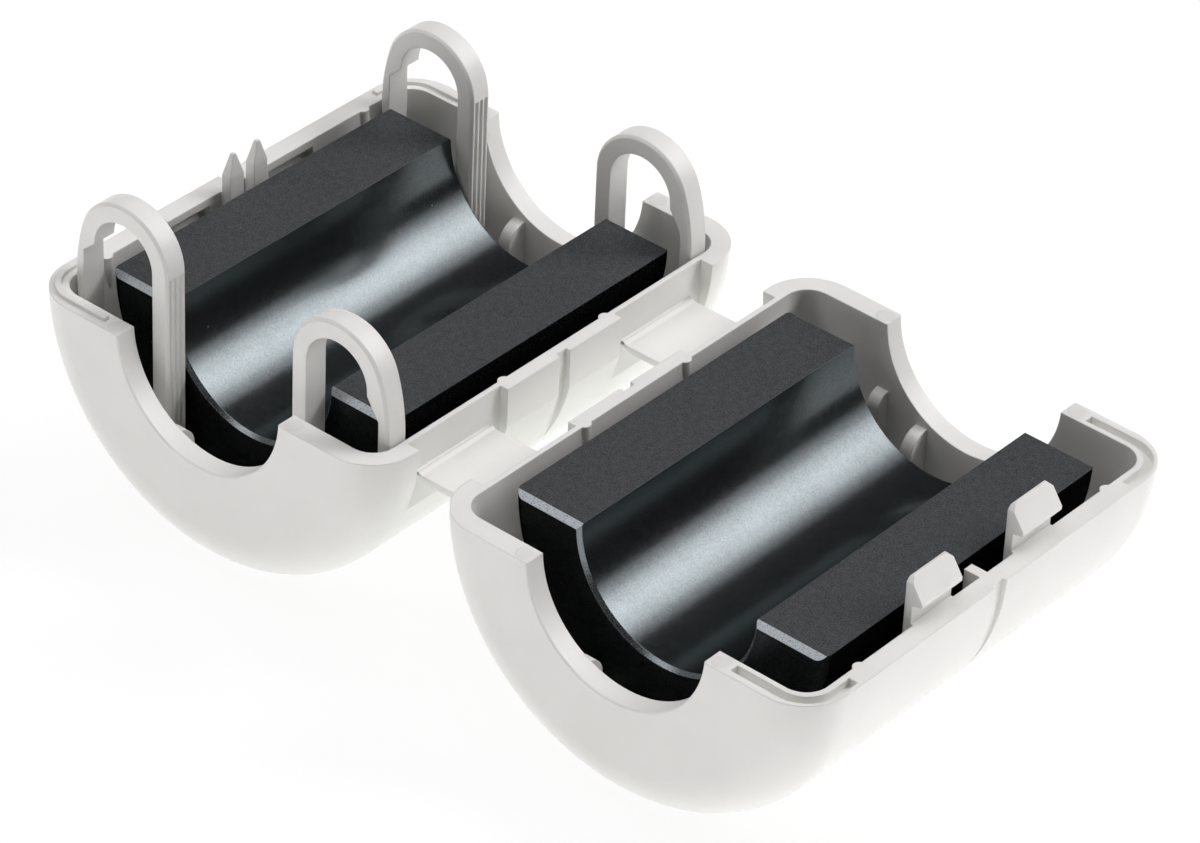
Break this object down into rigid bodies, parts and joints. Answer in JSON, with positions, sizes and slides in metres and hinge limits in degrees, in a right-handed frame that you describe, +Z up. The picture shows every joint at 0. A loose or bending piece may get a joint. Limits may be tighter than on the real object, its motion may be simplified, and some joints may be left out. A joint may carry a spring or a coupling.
{
  "type": "clip-on ferrite bead",
  "caption": "Hinged clip-on case, lying open, with a half ferrite core in each shell and spring loops at both ends that grip the cable.",
  "frame": {"origin": "on the axis of the cable bore of the base half, at mid length and in the plane of its mating faces", "axes": "+Y along the cable, +Z up out of the open halves, +X from the base half towards the cover half"},
  "size_m": [0.0707, 0.0398, 0.0241],
  "materials": {
    "case_plastic": "moulded polyamide, light warm grey, satin",
    "ferrite": "sintered ferrite, dark grey; ground mating faces are matt and speckled, the bore is smoother"
  },
  "bodies": {
    "base": {"base_shell": "case_plastic", "base_core": "ferrite"},
    "hinge_straps": {"hinge_strap_front": "case_plastic", "hinge_strap_rear": "case_plastic"},
    "cover": {"cover_shell": "case_plastic", "cover_core": "ferrite"}
  },
  "joints": [
    {"name": "base_hinge", "type": "hinge", "parent": "base", "child": "hinge_straps", "pos_m": [0.01559, 0, -0.0032], "axis": [0, -1, 0], "range_deg": [0, 90]},
    {"name": "cover_hinge", "type": "hinge", "parent": "hinge_straps", "child": "cover", "pos_m": [0.02207, 0, -0.0032], "axis": [0, -1, 0], "range_deg": [0, 90]}
  ],
  "couplings": [
    {"joint": "cover_hinge", "follows": "base_hinge", "ratio": 1}
  ]
}
